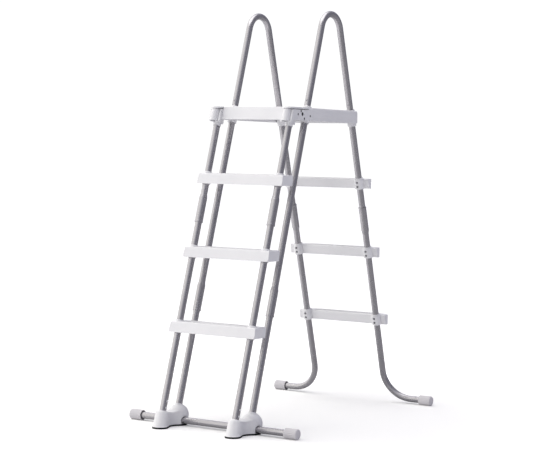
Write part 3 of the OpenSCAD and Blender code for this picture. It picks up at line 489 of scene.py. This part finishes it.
def cap_form(radius, length, bore):
    """A fluted cap along +Z from its closed end, with a thin wall round its hollow mouth."""
    edge, wall, floor, hollow = 0.005, 0.0022, 0.008, 0.020
    shoulder, brim, brim_height, draft, slack = 0.0065, 0.0006, 0.0008, 0.0004, 0.0001
    profile = [(0, 0), (0.6 * radius, 0)]
    for turn in range(0, 91, 18):
        a = math.radians(turn)
        profile.append((radius - edge + edge * math.sin(a), edge - edge * math.cos(a)))
    profile += [(radius, shoulder), (radius, FLUTES_START), (radius, length - brim_height),
                (radius - brim, length), (radius - wall, length),
                (radius - wall - draft, length - hollow), (bore, length - hollow),
                (bore, floor), (0, floor)]
    bm = lathe(profile, 8 * FLUTES)
    for vert in bm.verts:
        out = math.hypot(vert.co.x, vert.co.y)
        if out > radius - brim - slack and vert.co.z > FLUTES_START - slack:
            across = (math.atan2(vert.co.y, vert.co.x) / math.tau * FLUTES) % 1.0
            cut = FLUTE_DEPTH * (1.0 - (2.0 * across - 1.0) ** 2)
            vert.co.x *= (out - cut) / out
            vert.co.y *= (out - cut) / out
    bmesh.ops.recalc_face_normals(bm, faces=bm.faces)
    return bm


def fluted_cap(node, bore):
    """A cap in the place of its plain solid, closed at the end away from the middle."""
    low, high = (Vector(corner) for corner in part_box(node))
    middle = (low + high) / 2
    side = 1.0 if middle.x > 0 else -1.0
    bm = cap_form((high.z - low.z) / 2, high.x - low.x - CAP_SHORTER, bore)
    end = Vector((max(high.x, -low.x) * side, middle.y, middle.z))
    bmesh.ops.transform(bm, matrix=Matrix.Translation(end) @ turn_from_up((-side, 0, 0)),
                        verts=bm.verts)
    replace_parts(finished_piece(node + "_detailed", bm, node), node)


def sole_rim(node):
    """The upstanding rim of a rubber sole round the lower edge of its foot."""
    below, height, proud, thick = 0.001, 0.0035, 0.0003, 0.0006
    bm = bmesh.new()
    bm.from_mesh(frame["nodes"][node].data)
    bmesh.ops.remove_doubles(bm, verts=bm.verts, dist=SAME_POINT)
    bmesh.ops.recalc_face_normals(bm, faces=bm.faces)
    level = [face for face in bm.faces if abs(face.normal.z) > 0.3]
    bmesh.ops.delete(bm, geom=level, context="FACES")
    low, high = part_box(node)
    for vert in bm.verts:
        share = (vert.co.z - low[2]) / (high[2] - low[2])
        vert.co.z = high[2] - below + height * share
    bm.normal_update()
    for vert in bm.verts:
        vert.co += proud * vert.normal
    bmesh.ops.solidify(bm, geom=list(bm.faces), thickness=thick)
    bmesh.ops.recalc_face_normals(bm, faces=bm.faces)
    finished_piece(node + "_rim", bm, node)


def hook_neck(node):
    """The neck between the lid and the body of a rail hook, set back a little from the body."""
    lid, groove, inset, near = 0.0065, 0.003, 0.0045, 5e-5
    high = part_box(node)[1]
    bottom = high[2] - lid - groove
    points = np.array([vert.co for vert in frame["nodes"][node].data.vertices])
    body = points[abs(points[:, 2] - bottom) < near]
    left, front = body[:, :2].min(axis=0)
    right, back = body[:, :2].max(axis=0)
    half, middle = (right - left) / 2, (right + left) / 2
    radius = half - inset
    outline = [(middle + radius, back - inset), (middle - radius, back - inset)]
    for turn in range(180, 361, 10):
        a = math.radians(turn)
        outline.append((middle + radius * math.cos(a), front + half + radius * math.sin(a)))
    bm = bmesh.new()
    face = bm.faces.new([bm.verts.new((x, y, bottom)) for x, y in outline])
    grown = bmesh.ops.extrude_face_region(bm, geom=[face])["geom"]
    raised = [part for part in grown if isinstance(part, bmesh.types.BMVert)]
    bmesh.ops.translate(bm, verts=raised, vec=(0, 0, groove))
    bmesh.ops.recalc_face_normals(bm, faces=bm.faces)
    finished_piece(node + "_neck", bm, node)


for node in sorted(SLOT_OF):
    if SLOT_OF[node] == "cap":
        fluted_cap(node, TUBE_OUTSIDE)
    elif node.endswith("_sole"):
        sole_rim(node)
    elif node.endswith("_rail_hook"):
        hook_neck(node)


# Floor, light and camera

WHITE = (1.0, 1.0, 1.0, 1.0)
FLOOR_RADIUS = 60.0
FLOOR_SEEN = (0.945, 0.94, 0.92, 1.0)
FLOOR_BOUNCE = (0.76, 0.76, 0.77, 1.0)
FLOOR_MIRRORED_RIGHT = (0.38, 0.38, 0.39, 1.0)
FLOOR_MIRRORED_LEFT = (0.95, 0.95, 0.95, 1.0)
SKY_RIGHT = (0.83, 0.83, 1.0, 1.0)
SKY_LEFT = (1.0, 0.99, 0.96, 1.0)
SKY_SEEN = 1.05  # strength where the camera sees it
CAMERA_PLACE = (3.4686, -5.5362, 1.0381)
CAMERA_AROUND, CAMERA_DOWN, CAMERA_ROLL = 32.339, 2.466, 1.178  # degrees
CAMERA_LENS, SENSOR_WIDTH = 107.363, 36.0                       # millimetres


def stage_floor():
    """A wide pale floor that goes to white away from the object and mirrors darker on the right."""
    mesh = bpy.data.meshes.new("studio_floor")
    bm = bmesh.new()
    bmesh.ops.create_circle(bm, cap_ends=True, segments=96, radius=FLOOR_RADIUS)
    bm.to_mesh(mesh)
    bm.free()
    floor = bpy.data.objects.new("studio_floor", mesh)
    scene.collection.objects.link(floor)
    material = bpy.data.materials.new("pale_studio_floor")
    material.use_nodes = True
    tree = material.node_tree
    tree.nodes.clear()
    path = add(tree, "ShaderNodeLightPath").outputs
    place = add(tree, "ShaderNodeTexCoord").outputs["Object"]
    leftward = spread(tree, along(tree, place, (-0.92, -0.35, 0.0)), -0.5, 1.4)
    mirrored = mix_colour(tree, leftward, FLOOR_MIRRORED_RIGHT, FLOOR_MIRRORED_LEFT)
    bounced = mix_colour(tree, path["Is Glossy Ray"], FLOOR_BOUNCE, mirrored)
    pale = mix_colour(tree, path["Is Camera Ray"], bounced, FLOOR_SEEN)
    soft = add(tree, "ShaderNodeBsdfDiffuse", {"Color": pale}).outputs[0]
    away = add(tree, "ShaderNodeVectorMath", {0: place}, operation="LENGTH").outputs["Value"]
    lift = spread(tree, away, 0.70, 1.5, 0.13, 0.42)
    strength = math_node(tree, "MULTIPLY", path["Is Camera Ray"], lift)
    glow = add(tree, "ShaderNodeEmission", {"Color": WHITE, "Strength": strength}).outputs[0]
    both = add(tree, "ShaderNodeAddShader", {0: soft, 1: glow}).outputs[0]
    add(tree, "ShaderNodeOutputMaterial", {"Surface": both})
    mesh.materials.append(material)


def studio_sky():
    """White round the object, brighter from the left of the entry side than from the right."""
    world = bpy.data.worlds.new("studio")
    world.use_nodes = True
    tree = world.node_tree
    tree.nodes.clear()
    path = add(tree, "ShaderNodeLightPath").outputs
    way = add(tree, "ShaderNodeTexCoord").outputs["Generated"]
    side = spread(tree, along(tree, way, (-0.80, -0.52, 0.30)), -0.40, 1.0)
    level = math_node(tree, "MULTIPLY_ADD", side, 0.82, 0.16)
    above = spread(tree, upward(tree, way), 0.30, 0.95, 0.0, 0.44)
    mirrored = spread(tree, along(tree, way, (-0.92, -0.35, 0.18)), -0.60, 0.95, 0.26, 1.28)
    strength = add(tree, "ShaderNodeMix",
                   {0: path["Is Glossy Ray"], 2: math_node(tree, "ADD", level, above),
                    3: mirrored}).outputs[0]
    tint = mix_colour(tree, side, SKY_RIGHT, SKY_LEFT)
    lit = add(tree, "ShaderNodeBackground", {"Color": tint, "Strength": strength}).outputs[0]
    white = add(tree, "ShaderNodeBackground", {"Color": WHITE, "Strength": SKY_SEEN}).outputs[0]
    both = add(tree, "ShaderNodeMixShader",
               {0: path["Is Camera Ray"], 1: lit, 2: white}).outputs[0]
    add(tree, "ShaderNodeOutputWorld", {"Surface": both})
    scene.world = world


def softbox(name, place, aim, width, height, watts, colour, mirrored=True):
    """A rectangular lamp aimed at a point; one that isn't mirrored leaves no glint on the tubes."""
    data = bpy.data.lights.new(name, "AREA")
    data.shape = "RECTANGLE"
    data.size, data.size_y = width, height
    data.energy = watts
    data.color = colour
    lamp = bpy.data.objects.new(name, data)
    lamp.location = place
    lamp.rotation_euler = (Vector(aim) - Vector(place)).to_track_quat("-Z", "Y").to_euler()
    lamp.visible_glossy = mirrored
    scene.collection.objects.link(lamp)


def photo_camera():
    """The camera stands to the right of the entry side, about a metre above the floor."""
    around, down = math.radians(CAMERA_AROUND), math.radians(CAMERA_DOWN)
    ahead = Vector((-math.sin(around) * math.cos(down), math.cos(around) * math.cos(down),
                    -math.sin(down)))
    level = Vector((math.cos(around), math.sin(around), 0.0))
    upright = level.cross(ahead)
    cosine, sine = math.cos(math.radians(CAMERA_ROLL)), math.sin(math.radians(CAMERA_ROLL))
    right, up = level * cosine + upright * sine, upright * cosine - level * sine
    data = bpy.data.cameras.new("camera")
    data.lens = CAMERA_LENS
    data.sensor_width = SENSOR_WIDTH
    data.clip_end = 200.0
    camera = bpy.data.objects.new("camera", data)
    turn = Matrix((right, up, -ahead)).transposed().to_4x4()
    camera.matrix_world = Matrix.Translation(CAMERA_PLACE) @ turn
    scene.collection.objects.link(camera)
    scene.camera = camera


stage_floor()
studio_sky()
softbox("key_softbox", place=(-5.4, -2.6, 1.9), aim=(0.0, 0.0, 0.8), width=2.4, height=3.2,
        watts=80.0, colour=(1.0, 0.985, 0.955), mirrored=False)
softbox("top_softbox", place=(-0.6, -0.4, 4.6), aim=(0.0, 0.0, 0.0), width=4.0, height=4.0,
        watts=70.0, colour=(1.0, 0.99, 0.97))
softbox("right_fill_softbox", place=(5.2, 1.4, 1.4), aim=(0.0, 0.0, 0.7), width=3.0, height=3.0,
        watts=21.0, colour=(0.80, 0.80, 1.0), mirrored=False)
photo_camera()
scene.view_settings.view_transform = "Standard"
